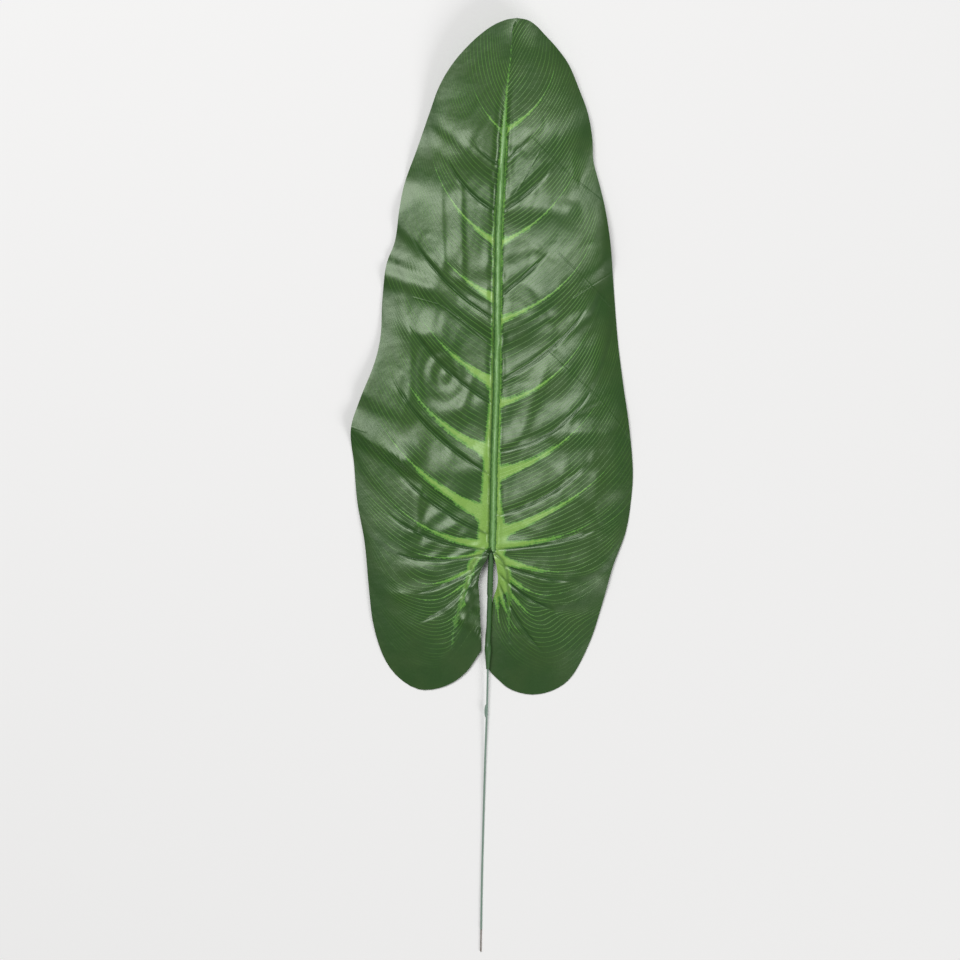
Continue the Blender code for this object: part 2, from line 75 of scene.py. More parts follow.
# Vein map of the blade, in millimetres. Guides run from the midrib or the notch to the margin.
midrib = [
    (19.4, 414.5), (17.1, 382), (13.1, 348), (10.8, 318), (9, 287.5), (6.8, 244.5), (5.9, 217), (5.4, 168),
    (5.2, 147), (4.4, 91.5), (3.8, 71.5), (2.4, 28.5), (1.9, 7), (1.4, -29.5), (0.9, -46.5), (0.6, -54),
    (0.5, -59),
]
midribHeight = [22, 17, 11.5, 8.8, 8.4, 8.4, 8.6, 8.6, 8.6, 8.6, 8.6, 8.6, 8.6, 8.8, 9, 9.2, 9.4]
rightHalf = {
    "outline": [
        (23, 421), (33, 419), (41, 413.5), (48, 406), (59, 394), (70, 378.5), (79, 357), (87, 335),
        (91, 312), (92, 292), (97.5, 270.5), (103, 247), (107.5, 216.5), (110.5, 175), (114, 130),
        (119, 89.5), (124, 54.5), (127.5, 15), (126, -14), (121, -43), (109.5, -74), (101, -104),
        (89.5, -140), (73.5, -171.5), (57, -185), (36.5, -189.5), (17.5, -185), (6, -176), (-1.5, -168.5),
    ],
    "notch": [
        (2.3, -65), (3.6, -70), (4.5, -74), (5.2, -79), (5.7, -83), (5.7, -87), (5.3, -90.5), (4.8, -93),
        (4, -96), (3, -98.5),
    ],
    "notchHeight": [9, 9, 8.2, 7.2, 6.4, 5.4, 4.4, 3.4, 2.6, 2],
    "bend": [
        (21.2, 417.5), (24, 402), (38, 368.5), (59, 346), (58, 328), (68, 281), (72.5, 244.5), (75, 220),
        (94, 177), (97.5, 132), (90.5, 94), (100.5, 42), (96, 35.5), (91.5, -7), (103, -11), (97.5, -54.5),
        (99.5, -55.5), (88.5, -97), (77, -101), (52.5, -120), (43.5, -119), (48, -142.5), (33, -151),
        (19.5, -140), (14, -140), (7.5, -138), (-12, -142),
    ],
    "reach": [  # guide: the point of the outline where it ends
        0, 1.4, 2.5, 4, 5.2, 6.6, 7.5, 9.6, 10.5, 11.7, 12.3, 13.3, 14.2, 15.4, 16.2, 17.3, 18, 19.5, 20.1,
        20.9, 21.5, 22.2, 23, 24, 25, 26.3, 28,
    ],
    "camber": [
        0, 0, 0, 0.2, 0.8, 1.2, 1.4, 1.4, 1.4, 2.2, 4, 6, 6, 6, 6, 6, 5.6, 5.2, 4.8, 4.6, 4.4, 4.2, 4, 3.6,
        3, 1.5, 0,
    ],
    "marginHeight": [  # at each point of the outline
        22, 21, 20, 18, 15, 11.6, 8, 5.8, 5.2, 6, 6.4, 6, 4, 1.4, 1.6, 3, 3, 1.4, 0.7, 1.8, 3, 2.4, 1.6, 1,
        0.7, 0.9, 1.2, 1.5, 1.6,
    ],
    # guide: the share of it that its rib covers
    "ribs": {4: 0.3, 5: 0.45, 7: 0.4, 9: 0.62, 11: 0.62, 13: 0.62, 16: 0.62, 18: 0.55, 20: 0.6, 22: 0.65},
    "lobeRib": [(2.3, -61.5), (9.5, -68), (14, -79), (15.8, -104), (15.8, -126.5), (16.2, -142)],
    # guide: half-width of the printed vein at its root, and the share of the guide that it covers
    "veins": {
        3: (1.9, 0.85), 6: (2.0, 0.8), 8: (2.2, 0.8), 10: (2.6, 0.72), 12: (4.6, 0.68), 14: (5.6, 0.72),
        15: (3.6, 0.72), 17: (4.0, 0.54), 19: (3.0, 0.66), 21: (2.6, 0.56), 23: (2.2, 0.55), 25: (2.2, 0.5),
    },
    # bands of light print: distance below the origin, half-width
    "midribBand": [
        (-400, -0.6), (-380, 0.3), (-345, 0.9), (-325, 2.2), (-300, 4.6), (-250, 4.4), (-200, 4.0),
        (-150, 4.2), (-90, 4.2), (-40, 5.5), (-5, 6.5), (15, 7.5), (30, 10), (48, 14), (62, 12),
    ],
    "lobeBand": [(60, 5), (100, 2.4), (110, 1.2), (140, 0.3)],
    "notchBand": [(60, 9), (97, 9.5), (104, 1), (112, -3)],
    "darkEdge": 0.0,  # unprinted strip beside the notch
    "ridgeShade": 0.25,  # how dark the painted shade at the foot of the midrib's ridge is
    "lobeVeins": 30,  # printed veins from this guide on start at the lobe's rib
    "smoothRoot": 0.2,  # 1 lets the camber leave the midrib level
    "calmFrom": 22,  # guides past this one have no folds or rib grooves
}
leftHalf = {
    "outline": [
        (23, 421), (12, 419), (-1.5, 412.5), (-17.5, 399.5), (-34.5, 380.5), (-47, 359.5), (-56, 335),
        (-67, 303), (-78, 273), (-83, 249), (-87, 220), (-95, 197.5), (-98.5, 166), (-100, 134.5),
        (-106, 108.5), (-119, 76), (-127, 49), (-124, 18.5), (-121, -16), (-114.5, -52), (-110.5, -95),
        (-106.5, -126.5), (-97.5, -155), (-84, -174), (-64.5, -185), (-42, -182), (-23, -169.5), (-9, -149),
    ],
    "notch": [
        (-1, -60.5), (-2.2, -62), (-4.5, -68), (-7.2, -72.5), (-9.5, -77), (-10.8, -81.5), (-11.5, -86),
        (-11.9, -89.5), (-11.6, -93), (-11.2, -97),
    ],
    "notchHeight": [9, 9, 9, 8.8, 8.2, 7.6, 7, 6.6, 6.2, 5.8],
    "bend": [
        (21.2, 417.5), (12, 400), (-2, 368.5), (-22, 346), (-29, 305.5), (-46.5, 274), (-53.5, 253),
        (-58, 195), (-63.5, 189.5), (-71.5, 128), (-70.5, 113), (-84, 61.5), (-79.5, 52.5), (-85, 8.5),
        (-71.5, -18.5), (-80.5, -52.5), (-80.5, -56), (-82.5, -81.5), (-87, -83), (-82.5, -118.5),
        (-79.5, -119), (-64.5, -129), (-55.5, -140), (-43, -146), (-34, -149), (-26.5, -140), (-10, -122),
    ],
    "reach": [
        0, 1, 2, 3.3, 4.5, 5.7, 6.3, 7.8, 9, 10.2, 11.2, 12.2, 13.3, 14.7, 15.6, 16.5, 17.4, 18.2, 18.6,
        19.2, 19.7, 20.3, 20.9, 22.2, 24.2, 25.3, 27,
    ],
    "camber": [
        0, 0, -0.3, -0.6, -0.8, -1, -1, -1, -1, -1, -0.8, -0.6, -0.2, 0.4, 1, 1.4, 1.8, 2.2, 2.6, 3, 3, 3, 3,
        2.5, 2, 1.5, 1,
    ],
    "marginHeight": [
        22, 22, 21.4, 19.6, 16, 11.6, 7, 3.6, 2.6, 2.4, 2.4, 1.6, 0.9, 0.7, 1.5, 2.6, 2.4, 0.7, 1.5, 2.2, 2.2,
        1.8, 1.2, 0.7, 0.9, 1.4, 2.2, 3,
    ],
    "ribs": {4: 0.35, 5: 0.62, 8: 0.8, 10: 0.7, 12: 0.8, 14: 0.68, 16: 0.72, 18: 0.62, 20: 0.5, 22: 0.6},
    "lobeRib": [
        (-1.4, -61.5), (-12, -65), (-17.5, -72.5), (-21, -86), (-26.5, -102), (-31, -119), (-34, -132),
        (-35.5, -147),
    ],
    "veins": {
        3: (1.1, 0.58), 6: (2.4, 0.8), 7: (3.2, 0.6), 9: (3.8, 0.68), 11: (5.0, 0.76), 13: (6.2, 0.8),
        15: (4.6, 0.72), 17: (3.0, 0.58), 19: (2.4, 0.6), 21: (1.6, 0.6), 23: (1.4, 0.58), 25: (1.0, 0.4),
    },
    "midribBand": [
        (-400, -0.6), (-380, 0.3), (-345, 0.9), (-325, 1.4), (-300, 2.4), (-255, 3.8), (-235, 5.4),
        (-200, 5.0), (-150, 5.2), (-90, 5.8), (-60, 7.2), (-40, 9), (-5, 10.5), (23, 12), (45, 14), (62, 12),
    ],
    "lobeBand": [(57, 6), (66, 4.4), (80, 2.8), (100, 2.0), (125, 1.3), (150, 0.4)],
    "notchBand": [(60, 9), (72, 9), (84, 4), (95, -1), (110, -3)],
    "darkEdge": 5.0,
    "ridgeShade": 0.95,
    "lobeVeins": 19,
    "smoothRoot": 0.0,
    "calmFrom": 40,
}

# Folds of the sheet. Both ends of the crest are read off the photo, in its pixels, then come the half-width
# towards the light, the half-width away from it and the height in millimetres
pixel = 0.9
photoOrigin = (491.5, 484.5)
towardsLight = (-0.42, 0.91)
folds = [
    # left half, from the tip
    ((430, 104), (462, 97), 10, 14, 0.5),
    ((448, 132), (497, 168), 11, 6, 1.7),
    ((402, 150), (452, 152), 16, 16, 1.2),
    ((400, 180), (450, 190), 14, 14, -1.6),
    ((396, 220), (437, 263), 46, 7, 2.7),
    ((441, 205), (443, 262), 9, 4, 0.9),
    ((461, 200), (462, 276), 8, 4, 1.2),
    ((464, 263), (484, 268), 14, 12, 1.3),
    ((446, 270), (490, 300), 44, 5, 1.6),
    ((388, 255), (440, 276), 7, 4, 1.1),
    ((384, 274), (430, 289), 11, 11, 3.6),
    ((430, 289), (488, 326), 30, 8, 2.8),
    ((404, 300), (408, 340), 10, 7, 1.4),
    ((414, 331), (440, 334), 22, 8, 1.8),
    ((426, 340), (448, 350), 22, 7, 2.2),
    ((404, 322), (484, 384), 30, 12, 0.9),
    ((466, 154), (494, 168), 24, 12, 2.8),
    ((412, 345), (409, 395), 5, 5, 0.9),
    ((408, 402), (484, 470), 42, 4, 1.3),
    ((376, 345), (402, 352), 40, 40, 2.6),
    ((365, 393), (400, 411), 44, 14, 4.2),
    ((468, 384), (462, 412), 10, 6, 1.6),
    ((446, 412), (477, 406), 12, 12, 1.6),
    ((347, 427), (404, 462), 24, 7, 5.6),
    ((404, 462), (450, 496), 24, 7, 3.2),
    ((440, 472), (482, 470), 22, 10, 2.2),
    ((402, 433), (420, 431), 6, 7, 0.4),
    ((421, 490), (414, 532), 16, 6, 3.0),
    ((424, 524), (446, 508), 7, 5, 1.3),
    ((432, 540), (456, 524), 6, 5, 1.2),
    ((436, 556), (462, 538), 6, 5, 1.3),
    ((452, 560), (478, 546), 5, 4, 1.0),
    ((416, 548), (440, 545), 8, 5, 1.2),
    ((425, 529), (464, 533), 18, 8, 1.6),
    ((402, 568), (432, 572), 7, 5, 1.1),
    ((402, 594), (432, 592), 7, 6, 0.9),
    ((469, 586), (481, 591), 6, 4, 1.5),
    ((468, 603), (481, 609), 8, 5, 2.4),
    ((464, 621), (481, 630), 8, 5, 2.6),
    # right half, from the tip
    ((517, 38), (549, 47), 20, 16, 1.6),
    ((540, 144), (594, 120), 18, 16, 1.8),
    ((507, 161), (526, 138), 8, 3, 0.9),
    ((508, 197), (541, 168), 14, 4, 1.7),
    ((508, 207), (566, 210), 12, 13, 2.2),
    ((560, 222), (606, 219), 30, 20, 1.4),
    ((507, 256), (538, 248), 9, 5, 0.8),
    ((506, 280), (534, 262), 8, 4, 0.6),
    ((505, 334), (545, 310), 40, 7, 4.6),
    ((556, 292), (620, 248), 46, 14, 5.2),
    ((556, 313), (582, 296), 8, 6, 1.0),
    ((522, 336), (548, 330), 10, 10, 1.5),
    ((507, 376), (577, 325), 12, 4, 1.4),
    ((505, 411), (585, 351), 22, 10, 1.2),
    ((542, 378), (522, 432), 8, 6, 1.7),
    ((506, 446), (596, 400), 16, 6, 2.1),
    ((562, 434), (606, 432), 8, 12, 2.4),
    ((505, 507), (589, 462), 18, 7, 1.6),
    ((566, 462), (559, 494), 7, 6, 0.9),
    ((536, 533), (607, 491), 30, 12, 2.2),
    ((597, 480), (596, 530), 9, 8, 1.6),
    ((512, 546), (566, 540), 10, 5, 1.2),
    ((532, 576), (570, 587), 10, 6, 1.0),
    ((584, 571), (607, 582), 14, 9, 0.8),
    ((523, 593), (549, 607), 9, 6, 0.9),
    ((622, 418), (616, 462), 14, 12, 1.4),
]

blade = {
    "thickness": 0.7,
    "rowSpacing": 3.4,
    "ribRows": (0.6, 1.3, 2.2),  # extra rows on both sides of each rib
    "leastRowGap": 0.3,
    "columns": 70,
    "midribColumns": (0, 0.7, 1.4, 2.1, 2.9, 3.8, 4.8, 5.9, 7.2, 8.8),
    "ridgeHeight": 2.1,
    "ridgeWidth": 2.6,
    "valleyDepth": 0.9,
    "valleyOffset": 5.4,
    "valleyWidth": 2.2,
    "puckerSize": 8.0,
    "ridgeWobble": 1.0,
    "ridgeFades": (365.0, 325.0),
    "grooveDepth": 0.95,
    "grooveWidth": 1.1,
    "hollowDepth": 0.22,
    "hollowWidth": 4.5,
    "crimpSize": 7.0,
    "ringCentre": (-42.0, 98.0),
    "ringSpacing": 13.0,
    "ringReach": 27.0,
    "ringHeight": 0.6,
    # sharp small dents: cell size, height, offset of the pattern
    "dents": ((36, 0.5, 3.1), (22, -0.3, 8.7)),
    "fineSpacing": 4.1,
    "lobeTurn": 4.5,
    "lobeGrooveDepth": 0.9,
    "lobeGrooveWidth": 1.4,
    "footOffset": 3.7,  # where the painted shade at the foot of the midrib's ridge lies
    "footWidth": 0.8,
    "floorGap": 0.02,
    "sharpAngle": 60,  # degrees
    # distance below the origin, and how far from the notch the lobe's rib then runs
    "lobeRibRun": ((60, 72, 102, 132, 150), (5, 9, 14, 21, 26)),
    "veinTip": (1.6, 1.4),  # widens a printed vein towards its end, so that it thins out late
    "veinRoot": (1.2, 0.06),  # flare at the root: share of the half-width, share of the guide
}


def deselectAll():
    if bpy.context.mode != "OBJECT":
        bpy.ops.object.mode_set(mode="OBJECT")
    bpy.ops.object.select_all(action="DESELECT")


def pickOnly(thing):
    deselectAll()
    thing.select_set(True)
    bpy.context.view_layer.objects.active = thing


def applyModifiers(thing):
    pickOnly(thing)
    for modifier in list(thing.modifiers):
        bpy.ops.object.modifier_apply(modifier=modifier.name)


def hermite(points, slopes, places):
    index = np.clip(np.floor(places).astype(int), 0, len(points) - 2)
    share = (places - index)[:, None]
    rest = 1 - share
    return (
        (1 + 2 * share) * rest**2 * points[index] + share * rest**2 * slopes[index]
        + share**2 * (1 + 2 * rest) * points[index + 1] - share**2 * rest * slopes[index + 1]
    )


def roundCurve(points, places):
    points = np.asarray(points, float).reshape(len(points), -1)
    return hermite(points, np.gradient(points, axis=0), places)


def steadyCurve(points, places):
    # never overshoots, for guides that stand close together
    points = np.asarray(points, float).reshape(len(points), -1)
    steps = np.diff(points, axis=0)
    product = steps[:-1] * steps[1:]
    total = np.where(product > 0, steps[:-1] + steps[1:], 1)
    inner = np.where(product > 0, 2 * product / total, 0)
    return hermite(points, np.vstack([steps[:1], inner, steps[-1:]]), places)


def rootCurve(shared, notch, places):
    last = len(shared) - 1
    onMidrib = steadyCurve(shared, np.minimum(places, last))
    onNotch = steadyCurve([shared[-1]] + notch, np.maximum(places - last, 0))
    return np.where(places[:, None] <= last, onMidrib, onNotch)


def guidePoints(half, places, shares):
    roots = rootCurve(midrib, half["notch"], places)
    bends = steadyCurve(half["bend"], places)
    reach = steadyCurve(half["reach"], places)[:, 0]
    ends = roundCurve(half["outline"], reach)
    share = shares[..., None]
    rest = 1 - share
    return rest**2 * roots[:, None] + 2 * share * rest * bends[:, None] + share**2 * ends[:, None]


def columnShares(half, places):
    roots = rootCurve(midrib, half["notch"], places)
    bends = steadyCurve(half["bend"], places)
    speed = 2 * np.linalg.norm(bends - roots, axis=1)[:, None]
    near = np.array(blade["midribColumns"], float)
    first = np.minimum(near / speed, np.arange(len(near)) / blade["columns"])
    steps = np.linspace(0, 1, blade["columns"] - len(near) + 2)[1:]
    rest = first[:, -1:] + (1 - first[:, -1:]) * steps
    return np.hstack([first, rest])


def rowPlaces():
    # rows at every guide, closer together beside the ribs
    lastGuide = len(rightHalf["bend"]) - 1
    guides = np.arange(lastGuide + 1.0)
    probe = np.tile([0.3, 0.6, 0.9], (len(guides), 1))
    gaps = []
    for half in (rightHalf, leftHalf):
        points = guidePoints(half, guides, probe)
        gaps.append(np.linalg.norm(np.diff(points, axis=0), axis=2).mean(axis=1))
    gap = np.maximum(*gaps)
    places = set(guides)
    for guide, width in enumerate(gap):
        count = max(2, round(width / blade["rowSpacing"]))
        places.update(guide + np.arange(1, count) / count)
    for guide in set(rightHalf["ribs"]) | set(leftHalf["ribs"]):
        for offset in blade["ribRows"]:
            places.add(guide - offset / gap[guide - 1])
            places.add(guide + offset / gap[guide])
    kept = []
    for place in sorted(places):
        leastStep = blade["leastRowGap"] / gap[min(int(place), lastGuide - 1)]
        tooClose = kept and place - kept[-1] < leastStep
        if tooClose and place % 1:
            continue
        if tooClose:
            kept.pop()
        kept.append(place)
    return np.array(kept)


def lineDistance(x, y, line):
    best = np.full(x.shape, np.inf)
    for (ax, ay), (bx, by) in zip(line[:-1], line[1:]):
        length = (bx - ax)**2 + (by - ay)**2
        along = np.clip(((x - ax) * (bx - ax) + (y - ay) * (by - ay)) / length, 0, 1)
        best = np.minimum(best, np.hypot(x - ax - along * (bx - ax), y - ay - along * (by - ay)))
    return best


def widthPerStep(half, places, shares, count):
    # millimetres across the leaf for a step of one in count
    step = 0.02
    low, high = (np.clip(places + side * step, 0, len(half["bend"]) - 1) for side in (-1, 1))
    near, far = (np.clip(shares + side * step, 0, 1) for side in (-1, 1))
    rowGap = (high - low)[:, None]
    shareGap = far - near
    acrossRows = guidePoints(half, high, shares) - guidePoints(half, low, shares)
    alongRow = guidePoints(half, places, far) - guidePoints(half, places, near)
    xr, yr = np.moveaxis(acrossRows / rowGap[..., None], 2, 0)
    xs, ys = np.moveaxis(alongRow / shareGap[..., None], 2, 0)
    byRow = (count(high, shares) - count(low, shares)) / rowGap
    byShare = (count(places, far) - count(places, near)) / shareGap
    slope = np.hypot(byRow * ys - byShare * yr, byShare * xr - byRow * xs)
    return np.abs(xr * ys - yr * xs) / np.maximum(slope, 1e-9)


def plainPlaces(places, shares):
    return places[:, None] + 0 * shares


def printPlaces(places, shares):
    # in the lobes the printed veins bend back towards the tip on their way out
    lobe = np.clip((places[:, None] - 16) / 5, 0, 1)
    return places[:, None] + blade["lobeTurn"] * lobe * np.clip((shares - 0.3) / 0.7, 0, 1)**1.6


def midribRelief(x, y):
    near = lineDistance(x, y, midrib) < 14
    pucker = np.zeros_like(y)
    pucker[near] = perlinField(x[near], y[near], blade["puckerSize"], 5.0)
    wobble = np.zeros_like(y)
    wobble[near] = perlinField(x[near] * 0.4, y[near], blade["puckerSize"] * 1.3, 2.0)
    offset = lineDistance(x, y, midrib) + blade["ridgeWobble"] * wobble
    start, full = blade["ridgeFades"]
    strength = np.clip((start - y) / (start - full), 0, 1)
    ridge = blade["ridgeHeight"] * np.exp(-np.abs(offset / blade["ridgeWidth"])**2.4)
    valley = blade["valleyDepth"] * np.exp(-((offset - blade["valleyOffset"]) / blade["valleyWidth"])**2)
    return strength * (ridge - valley * (1 + 0.9 * pucker))


def perlinField(x, y, size, level):
    values = [perlin.noise(Vector((a / size, b / size, level))) for a, b in zip(x.ravel(), y.ravel())]
    return np.array(values).reshape(x.shape)


def dents(x, y):
    relief = np.zeros_like(x)
    for size, height, level in blade["dents"]:
        relief += height * np.clip(1 - 4 * np.abs(perlinField(x, y, size, level)), 0, 1)
    return relief


def foldRelief(x, y):
    relief = np.zeros_like(x)
    for (au, av), (bu, bv), gentle, steep, height in folds:
        ax, ay = (au - photoOrigin[0]) * pixel, (photoOrigin[1] - av) * pixel
        bx, by = (bu - photoOrigin[0]) * pixel, (photoOrigin[1] - bv) * pixel
        length = np.hypot(bx - ax, by - ay)
        ux, uy = (bx - ax) / length, (by - ay) / length
        lit = 1 if -uy * towardsLight[0] + ux * towardsLight[1] > 0 else -1
        along = (x - ax) * ux + (y - ay) * uy
        across = ((y - ay) * ux - (x - ax) * uy) * lit
        width = np.where(across > 0, gentle, steep)
        past = np.maximum(np.maximum(-along, along - length), 0) / (0.35 * length + 0.6 * steep)
        relief += height * np.exp(-(across / width)**2 * 1.6) * np.exp(-past**2 * 3)
    fromRing = np.hypot(x - blade["ringCentre"][0], (y - blade["ringCentre"][1]) / 1.25)
    rings = np.cos(2 * np.pi * fromRing / blade["ringSpacing"]) * np.exp(-(fromRing / blade["ringReach"])**4)
    return relief + blade["ringHeight"] * rings


def grooves(half, places, shares, spacing, x, y):
    # depth of the grooves that the ribs press in, and how far each point lies in one of them, which sets the
    # painted shade along them
    depth = np.zeros_like(shares)
    paintedShade = np.zeros_like(shares)
    crimp = 1 + 2.2 * perlinField(x, y, blade["crimpSize"], 9.0)
    for guide, extent in half["ribs"].items():
        offset = (places[:, None] - guide) * spacing
        near = np.abs(places[:, None] - guide) < 0.9
        along = np.clip(shares / 0.06, 0, 1) * np.clip((extent - shares) / 0.15, 0, 1) * near
        narrow = np.exp(-(offset / blade["grooveWidth"])**2) * along
        depth += blade["grooveDepth"] * narrow
        depth += blade["hollowDepth"] * np.exp(-(offset / blade["hollowWidth"])**2) * along * crimp
        paintedShade = np.maximum(paintedShade, narrow)
    return depth, paintedShade


def halfSurface(half, places, shares):
    points = guidePoints(half, places, shares)
    x, y = points[..., 0], points[..., 1]
    spacing = widthPerStep(half, places, shares, plainPlaces)
    rootHeight = rootCurve(midribHeight, half["notchHeight"], places)
    reach = steadyCurve(half["reach"], places)[:, 0]
    marginHeight = roundCurve(half["marginHeight"], reach)
    camber = steadyCurve(half["camber"], places)
    tip = np.clip((4 - places[:, None]) / 4, 0, 1)
    smooth = np.maximum(tip, half["smoothRoot"])
    bow = (1 - smooth) * 4 * shares * (1 - shares) + smooth * (4 * shares * (1 - shares))**2
    height = rootHeight * (1 - shares) + marginHeight * shares + camber * bow
    calm = np.clip((places[:, None] - half["calmFrom"]) / 3, 0, 1)
    depth, paintedShade = grooves(half, places, shares, spacing, x, y)
    # dents fade out at the midrib, at the margin, at the tip and in the lobe
    inner = np.clip(shares / 0.08, 0, 1) * np.clip((0.95 - shares) / 0.3, 0.25, 1)
    inner = inner * np.clip((places[:, None] - 1.5) / 3, 0, 1) * np.clip((26 - places[:, None]) / 5, 0.2, 1)
    height += dents(x, y) * inner
    height += (foldRelief(x, y) - depth) * (1 - calm) + midribRelief(x, y)
    lobeOffset = lineDistance(x, y, half["lobeRib"])
    lobeGroove = np.exp(-(lobeOffset / blade["lobeGrooveWidth"])**2)
    height -= blade["lobeGrooveDepth"] * lobeGroove * np.clip(1.2 - calm, 0, 1)
    # the lobe's rib groove gets painted shade too
    paintedShade = np.maximum(paintedShade, lobeGroove)
    # painted shade along the foot of the midrib's ridge, strong on the left half and weak on the right
    foot = np.exp(-((lineDistance(x, y, midrib) - blade["footOffset"]) / blade["footWidth"])**2)
    foot = foot * np.clip((330 - y) / 30, 0, 1) * (y > -52)
    paintedShade = np.maximum(paintedShade, half["ridgeShade"] * foot)
    height = np.maximum(height, blade["thickness"] + blade["floorGap"])
    # the outline was read off the photo as if it lay on the floor, so what stands up is drawn in
    nearer = 1 - height / studio["cameraHeight"]
    x = studio["lookAt"][0] + (x - studio["lookAt"][0]) * nearer
    y = studio["lookAt"][1] + (y - studio["lookAt"][1]) * nearer
    return np.dstack([x, y, height]), paintedShade


def fineCounts(half, places):
    # how many fine veins lie before each place
    guides = np.arange(len(half["bend"]) * 1.0)
    middle = guidePoints(half, guides, np.full((len(guides), 1), 0.5))[:, 0]
    gap = np.linalg.norm(np.diff(middle, axis=0), axis=1)
    counts = np.concatenate([[0], np.cumsum(np.maximum(1, np.round(gap / blade["fineSpacing"])))])
    return np.interp(places, guides, counts)


def printedLight(half, places, shares, points):
    # how far inside the light printed veins a point lies, in millimetres
    x, y = points[..., 0], points[..., 1]
    inside = np.full(shares.shape, -8.0)
    across = widthPerStep(half, places, shares, printPlaces)
    printed = printPlaces(places, shares)
    fromNotch = lineDistance(x, y, [midrib[-1]] + half["notch"])
    lobeStart = np.interp(-y, *blade["lobeRibRun"])
    widen, cut = blade["veinTip"]
    flare, fall = blade["veinRoot"]
    for guide, (halfWidth, extent) in half["veins"].items():
        offset = np.abs(printed - guide) * across
        left = np.clip(1 - shares / extent, 0, 1)
        width = halfWidth * left**1.4 + widen * left**0.5 - cut + flare * halfWidth * np.exp(-shares / fall)
        width -= np.clip(shares - extent, 0, 1) * 30
        if guide >= half["lobeVeins"]:
            width -= 8 * (fromNotch < lobeStart)
        inside = np.maximum(inside, width - offset)
    depths, widths = zip(*half["midribBand"])
    band = np.interp(-y, depths, widths)
    fromMidrib = lineDistance(x, y, midrib)
    inside = np.maximum(inside, band - fromMidrib)
    depths, widths = zip(*half["lobeBand"])
    inside = np.maximum(inside, np.interp(-y, depths, widths) - lineDistance(x, y, half["lobeRib"]))
    depths, widths = zip(*half["notchBand"])
    inside = np.maximum(inside, np.interp(-y, depths, widths) - fromNotch)
    edge = half["darkEdge"] * np.clip((-y - 52) / 8, 0, 1)
    return np.where(edge > 0, np.minimum(inside, fromNotch - edge), inside)


def halfSheet(name, half, places):
    # a flat grid, whose rows and columns are then laid along the guides
    shares = columnShares(half, places)
    surface, paintedShade = halfSurface(half, places, shares)

    def finePlaces(someRows, someShares):
        return fineCounts(half, printPlaces(someRows, someShares))

    lobeEnd = np.clip((places[:, None] - 20) / 3, 0, 1) * np.clip((shares - 0.4) / 0.3, 0, 1)
    nearMargin = np.clip((shares - 0.75) / 0.2, 0, 1)
    side = -1 if half is leftHalf else 1
    fields = {
        "fineCount": finePlaces(places, shares),
        "fineWidth": widthPerStep(half, places, shares, finePlaces),
        "fineFade": (1 - 0.85 * lobeEnd) * (1 - 0.6 * nearMargin),
        "lightPrint": printedLight(half, places, shares, surface),
        "paintedShade": paintedShade,
        "fromMidrib": side * lineDistance(surface[..., 0], surface[..., 1], midrib),
    }
    if half is leftHalf:
        surface = surface[::-1]
        fields = {label: values[::-1] for label, values in fields.items()}
    rows, columns = shares.shape
    deselectAll()
    bpy.ops.mesh.primitive_grid_add(x_subdivisions=columns - 1, y_subdivisions=rows - 1, size=1)
    sheet = bpy.context.object
    sheet.name = name
    sheet.data.vertices.foreach_set("co", (surface * mm).astype(np.float32).ravel())
    for label, values in fields.items():
        attribute = sheet.data.attributes.new(label, "FLOAT", "POINT")
        attribute.data.foreach_set("value", np.ascontiguousarray(values, np.float32).ravel())
    return sheet


def makeSheet():
    places = rowPlaces()
    print("rows of the blade:", len(places))
    right = halfSheet("rightHalf", rightHalf, places)
    left = halfSheet("leafBlade", leftHalf, places)
    deselectAll()
    right.select_set(True)
    left.select_set(True)
    bpy.context.view_layer.objects.active = left
    bpy.ops.object.join()
    bpy.ops.object.mode_set(mode="EDIT")
    bpy.ops.mesh.select_all(action="SELECT")
    bpy.ops.mesh.remove_doubles(threshold=0.01 * mm)
    bpy.ops.mesh.normals_make_consistent(inside=False)
    bpy.ops.mesh.quads_convert_to_tris(quad_method="FIXED")
    bpy.ops.object.mode_set(mode="OBJECT")
    if sum(face.normal.z for face in left.data.polygons) < 0:
        left.data.flip_normals()
    return left


# Nodes of the materials
def addNode(tree, kind, settings=None, inputs=None):
    made = tree.nodes.new("ShaderNode" + kind)
    for name, value in (settings or {}).items():
        setattr(made, name, value)
    for name, value in (inputs or {}).items():
        if isinstance(value, bpy.types.NodeSocket):
            tree.links.new(value, made.inputs[name])
        else:
            made.inputs[name].default_value = value
    return made


def calculate(tree, operation, first, second=0.0, third=0.0):
    return addNode(tree, "Math", {"operation": operation}, {0: first, 1: second, 2: third}).outputs[0]


def ramp(tree, value, fromLow, fromHigh, toLow=0.0, toHigh=1.0):
    inputs = {0: value, 1: fromLow, 2: fromHigh, 3: toLow, 4: toHigh}
    return addNode(tree, "MapRange", {"interpolation_type": "SMOOTHSTEP"}, inputs).outputs[0]


def blendColours(tree, factor, first, second, kind="MIX"):
    made = addNode(tree, "Mix", {"data_type": "RGBA", "blend_type": kind})
    for index, value in ((0, factor), (6, first), (7, second)):
        if isinstance(value, bpy.types.NodeSocket):
            tree.links.new(value, made.inputs[index])
        elif index:
            made.inputs[index].default_value = (*value, 1)
        else:
            made.inputs[index].default_value = value
    return made.outputs[2]


def field(tree, name):
    return addNode(tree, "Attribute", {"attribute_name": name}).outputs["Fac"]


def place(tree):
    return addNode(tree, "TexCoord").outputs["Object"]


def noise(tree, size, detail=2.0, vector=None):
    # size in millimetres
    inputs = {"Vector": vector or place(tree), "Scale": 1 / (size * mm), "Detail": detail}
    return addNode(tree, "TexNoise", None, inputs).outputs["Fac"]


def bump(tree, height, distance, normal=None):
    # distance in millimetres
    inputs = {"Height": height, "Distance": distance * mm, "Strength": 1.0}
    if normal:
        inputs["Normal"] = normal
    return addNode(tree, "Bump", None, inputs).outputs["Normal"]


